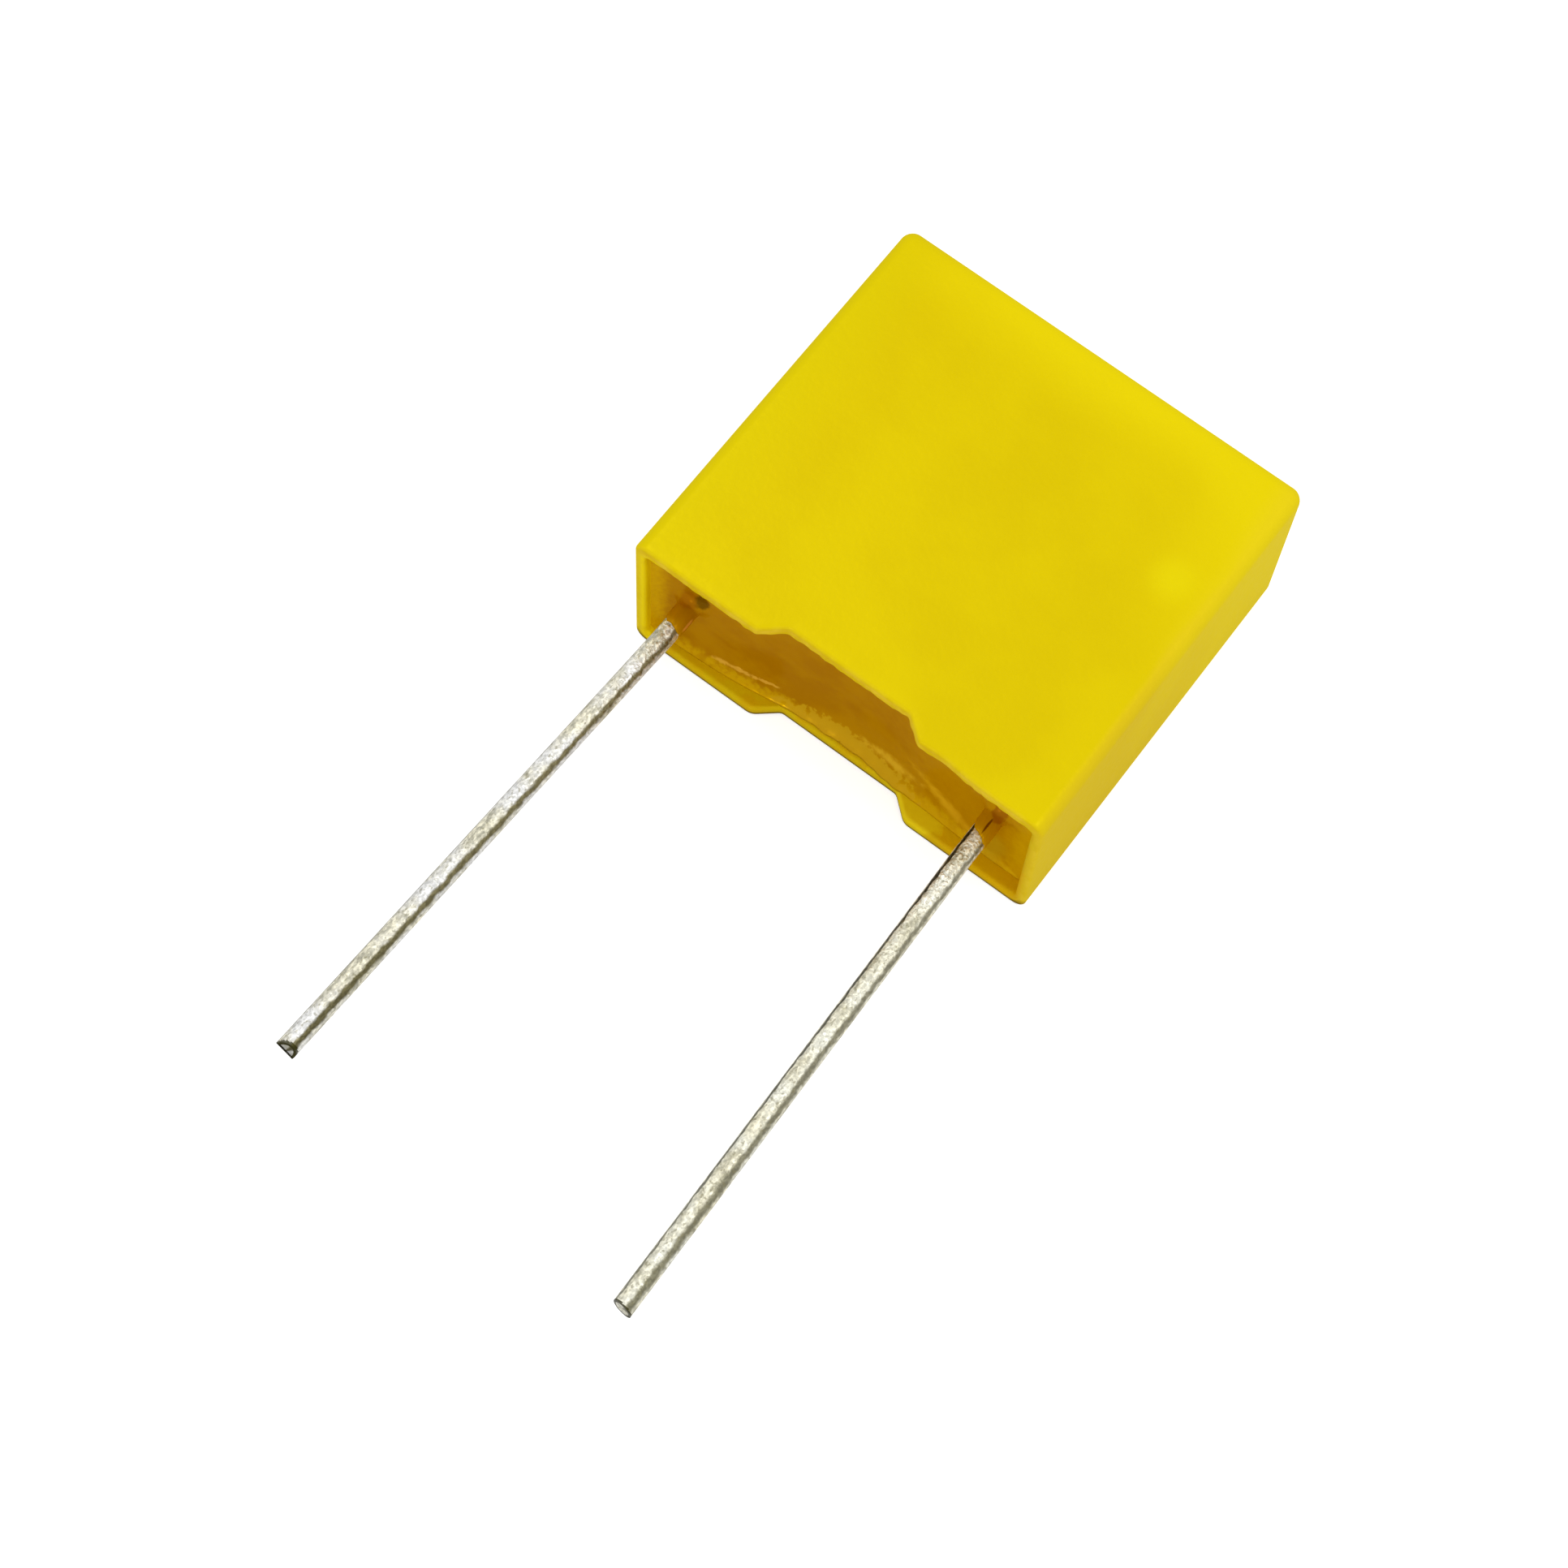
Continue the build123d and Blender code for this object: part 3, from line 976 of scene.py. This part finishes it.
# Each patch is its centre and half sizes, its slope, its tear, its softness and its colour.
# Lighter amber where thin resin climbs the far wall and in patches towards both ends; the one at the left end
# wall is painted light coming through the wall.
lighter_resin = (
    ((0.0046, mouth_y, middle_z), (0.0026, 0.003, 0.004), 0.0, 0.25, 0.8, (195, 142, 2)),
    ((0.0, mouth_y, wall_z), (0.0075, 0.003, 0.00024), 0.0, 0.7, 0.6, (204, 158, 10)),
    ((0.0002, mouth_y, wall_z), (0.0022, 0.002, 0.0004), 0.0, 0.5, 0.1, (204, 158, 26)),
    ((-0.0066, mouth_y, middle_z), (0.0006, 0.002, 0.004), 0.0, 0.15, 0.5, (230, 186, 8)),
    ((0.0063, mouth_y, middle_z - 0.001), (0.0008, 0.002, 0.0026), 0.0, 0.15, 0.6, (222, 178, 8)),
)
# Painted highlights: lighter amber lines where the meniscus curves up the far wall.
meniscus_highlights = (
    ((-0.0035, mouth_y, 0.00078), (0.0006, 0.002, 0.00007), 0.11, 0.9, 0.5, (228, 174, 58)),
    ((-0.0027, mouth_y, 0.00085), (0.0004, 0.002, 0.00005), 0.13, 0.9, 0.5, (228, 174, 58)),
    ((0.0014, mouth_y, 0.00088), (0.0008, 0.002, 0.00013), 0.11, 0.6, 0.8, (222, 174, 40)),
    ((0.0033, mouth_y, 0.00108), (0.0009, 0.002, 0.00017), -0.35, 0.4, 0.9, (222, 172, 30)),
    ((0.00505, mouth_y, 0.0009), (0.00035, 0.002, 0.0005), 0.0, 0.2, 0.6, (200, 158, 22)),
)
# Those beside a lead have x from its axis and y from the resin's edge, and don't slope.
left_marks = (
    # Left lead: a darker spot round its root, a painted shadow between it and the front wall, and a painted
    # highlight along its film.
    ((-0.00004, 0.00002, 0.0034), (0.00026, 0.00022, 0.0004), 0.2, 0.3, (174, 112, 8)),
    ((0.00032, 0.00018, 0.00348), (0.0002, 0.0002, 0.0003), 0.3, 0.3, (126, 88, 4)),
    ((0.00031, -0.000475, 0.00308), (0.00004, 0.0002, 0.00007), 0.2, 0.3, (226, 156, 56)),
)
right_marks = (
    # Right lead: a darker spot round its root and a dark line along its film.
    ((0.00014, 0.0002, 0.00338), (0.00022, 0.00025, 0.0003), 0.3, 0.2, (172, 110, 14)),
    ((0.00006, -0.000285, 0.0033), (0.00003, 0.00028, 0.0001), 0.4, 0.3, (120, 72, 4)),
)
resin_patches = [*lighter_resin, *meniscus_highlights]
for lead_x, marks in ((exits[-1], left_marks), (exits[1], right_marks)):
    for (x, y, z), size, tear, soft, tone in marks:
        resin_patches.append(((lead_x + x, mouth_y + y, z), size, 0.0, tear, soft, tone))
for centre, size, slope, tear, soft, tone in resin_patches:
    amber = blend_of(tree, spot(tree, centre, size, grit, slope, tear, soft), amber, colour(*tone))
feed(tree, shader, {
    "Base Color": amber,
    "Roughness": blend_of(tree, clouds, 0.14, 0.26),
    "Normal": bump_of(tree, clouds, 0.00002),
})
held = ("film_winding", "end_spray_left", "end_spray_right", "lead_left", "lead_right")
resin = hollowed("resin_filling", resin_mesh(), held)
resin.data.materials.clear()
resin.data.materials.append(resin_finish)
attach(resin, "root")
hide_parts("potting_resin")

# ---------------------------------------------------------------- Studio
# The capacitor lies on its back on a white sheet, under three small soft lamps and a pale sky,
# and is looked at from above, past its leads.

floor_size = 3.0
floor_mesh = bpy.data.meshes.new("white_sheet")
corners = [(x * floor_size / 2, y * floor_size / 2, 0.0) for x, y in ((-1, -1), (1, -1), (1, 1), (-1, 1))]
floor_mesh.from_pydata(corners, [], [(0, 1, 2, 3)])
floor = bpy.data.objects.new("white_sheet", floor_mesh)
bpy.context.scene.collection.objects.link(floor)
white = (1.0, 1.0, 1.0, 1.0)
sheet_grey = (0.78, 0.78, 0.78, 1.0)
sheet_glow = 0.2
sheet_lift = 0.4


def seen_white(tree, rays):
    """1 for what the camera sees, straight or in the metal, and 0 for what lights the object."""
    seen = rays["Is Camera Ray"]
    for kind in ("Is Glossy Ray", "Is Transmission Ray"):
        seen = add(tree, "ShaderNodeMath", {0: seen, 1: rays[kind]}, operation="MAXIMUM").outputs[0]
    return seen


sheet_finish, tree, shader = new_finish(
    "white_sheet", base_color=sheet_grey, roughness=0.9, specular_ior_level=0.0, emission_color=white
)
rays = add(tree, "ShaderNodeLightPath").outputs
glow = add(tree, "ShaderNodeMath", {0: seen_white(tree, rays), 1: sheet_glow}, operation="MULTIPLY")
lifted = {0: rays["Is Camera Ray"], 1: sheet_lift, 2: glow.outputs[0]}
glow = add(tree, "ShaderNodeMath", lifted, operation="MULTIPLY_ADD")
tree.links.new(glow.outputs[0], shader.inputs["Emission Strength"])
floor_mesh.materials.append(sheet_finish)

sky_strength = 0.8
world = bpy.data.worlds.new("pale_sky")
bpy.context.scene.world = world
world.use_nodes = True
tree = world.node_tree
tree.nodes.clear()
seen = seen_white(tree, add(tree, "ShaderNodeLightPath").outputs)
strength = blend_of(tree, seen, sky_strength, 1.0)
sky = add(tree, "ShaderNodeBackground", {"Color": white, "Strength": strength})
add(tree, "ShaderNodeOutputWorld", {"Surface": sky.outputs[0]})

for name, place, size, energy in (
    ("left_lamp", (-0.07, 0.02, 0.15), 0.06, 0.017),
    ("right_lamp", (0.08, 0.0, 0.15), 0.06, 0.03),
    ("front_lamp", (0.01, -0.16, 0.1), 0.025, 0.016),
):
    lamp_data = bpy.data.lights.new(name, "AREA")
    lamp_data.shape = "SQUARE"
    lamp_data.size = size
    lamp_data.energy = energy
    lamp = bpy.data.objects.new(name, lamp_data)
    bpy.context.scene.collection.objects.link(lamp)
    aim = Vector(place).to_track_quat("Z", "Y").to_matrix().to_4x4()
    lamp.matrix_world = Matrix.Translation(Vector(place)) @ aim

camera_target = Vector((-0.00005, -0.00806, middle_z))
camera_distance = 0.0989
camera_azimuth = math.radians(32.23)
camera_elevation = math.radians(69.13)
camera_roll = math.radians(5.18)
camera_data = bpy.data.cameras.new("camera")
camera_data.lens = 86.09
camera_data.sensor_width = 36.0
camera_data.clip_start = 0.005
camera = bpy.data.objects.new("camera", camera_data)
bpy.context.scene.collection.objects.link(camera)
towards = Vector((
    math.sin(camera_azimuth) * math.cos(camera_elevation),
    -math.cos(camera_azimuth) * math.cos(camera_elevation),
    math.sin(camera_elevation),
))
level = towards.to_track_quat("Z", "Y").to_matrix().to_4x4()
stand = Matrix.Translation(camera_target + towards * camera_distance)
camera.matrix_world = stand @ level @ Matrix.Rotation(camera_roll, 4, "Z")
bpy.context.scene.camera = camera
bpy.context.scene.view_settings.view_transform = "Standard"
